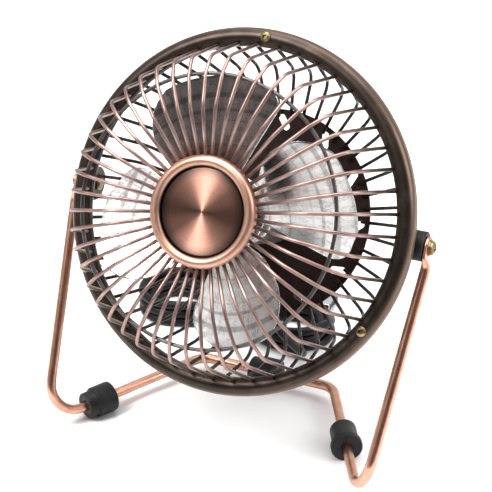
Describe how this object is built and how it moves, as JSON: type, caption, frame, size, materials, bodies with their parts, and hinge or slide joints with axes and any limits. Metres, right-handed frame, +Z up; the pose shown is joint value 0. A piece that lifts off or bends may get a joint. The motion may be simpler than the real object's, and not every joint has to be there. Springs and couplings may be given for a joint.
{
  "type": "desk fan",
  "caption": "Small desk fan with a round tilting wire cage, metal blades, a bent tube stand on rubber feet, and a folded cable with a plug.",
  "frame": {"origin": "centre of the object's box on the table, without the cable", "axes": "+Z up, the fan blows towards -Y, +X is to the right of a person facing the fan"},
  "size_m": [0.1562, 0.1493, 0.1577],
  "materials": {
    "copper_tube": "satin rose copper",
    "copper_wire": "satin rose copper",
    "copper_polished": "polished copper, spun",
    "bronze_rim": "dark bronze, worn to copper at the edges",
    "dark_wire": "dark brown paint",
    "cover_paint": "dark brown paint",
    "rubber_black": "matte moulded rubber",
    "plastic_black": "matte",
    "rocker_black": "gloss",
    "cable_black": "smooth jacket",
    "tie_black": "woven strap",
    "grip_black": "fine matte",
    "plug_steel": "nickel plated",
    "brass_antique": "aged brass",
    "bearing_bronze": "sintered bronze",
    "blade_aluminium": "brushed",
    "hub_aluminium": "turned",
    "motor_steel": "zinc plated",
    "magnet": "ferrite",
    "coil_copper": "enamelled wire"
  },
  "bodies": {
    "stand": {"stand_tube": "copper_tube", "foot_left": "rubber_black", "foot_right": "rubber_black", "foot_rear": "rubber_black", "pivot_spacer_left": "plastic_black", "pivot_spacer_right": "plastic_black", "pivot_washer_left": "brass_antique", "pivot_washer_right": "brass_antique", "pivot_screw_left": "brass_antique", "pivot_screw_right": "brass_antique", "pivot_nut_left": "brass_antique", "pivot_nut_right": "brass_antique", "cable_lead": "cable_black", "cable_hank": "cable_black", "cable_tie": "tie_black", "cable_tail": "cable_black", "usb_grip": "grip_black", "usb_shell": "plug_steel"},
    "cage": {"rim_front": "bronze_rim", "rim_rear": "bronze_rim", "pivot_ear_left": "bronze_rim", "pivot_ear_right": "bronze_rim", "rim_screw_top": "brass_antique", "rim_screw_right": "brass_antique", "rim_screw_left": "brass_antique", "rim_nut_top": "brass_antique", "rim_nut_right": "brass_antique", "rim_nut_left": "brass_antique", "front_wires": "copper_wire", "front_ring": "dark_wire", "front_hub_plate": "dark_wire", "hub_bezel": "copper_polished", "hub_disc": "copper_polished", "rear_wires": "dark_wire", "rear_plate": "dark_wire", "motor_can": "motor_steel", "motor_end_cap": "plastic_black", "motor_magnet_a": "magnet", "motor_magnet_b": "magnet", "motor_bearing_front": "bearing_bronze", "motor_bearing_rear": "bearing_bronze", "motor_screws": "brass_antique", "rear_cover": "cover_paint", "cover_screws": "brass_antique", "switch_body": "plastic_black", "cable_gland": "cable_black"},
    "rotor": {"motor_shaft": "motor_steel", "armature_core": "motor_steel", "armature_coils": "coil_copper", "commutator": "bearing_bronze", "blade_hub": "hub_aluminium", "fan_blades": "blade_aluminium", "shaft_cap": "brass_antique"},
    "rocker": {"switch_rocker": "rocker_black"}
  },
  "joints": [
    {"name": "head_tilt", "type": "hinge", "parent": "stand", "child": "cage", "pos_m": [0, 0.00467, 0.0902], "axis": [-1, 0, 0], "range_deg": [-56, 60], "deforming": ["cable_lead"]},
    {"name": "blade_spin", "type": "hinge", "parent": "cage", "child": "rotor", "pos_m": [0, 0.00467, 0.0902], "axis": [0, -0.8988, 0.4384], "continuous": true},
    {"name": "switch_rock", "type": "hinge", "parent": "cage", "child": "rocker", "pos_m": [0, 0.049, 0.07525], "axis": [0, 0.4384, 0.8988], "range_deg": [0, 20]}
  ]
}
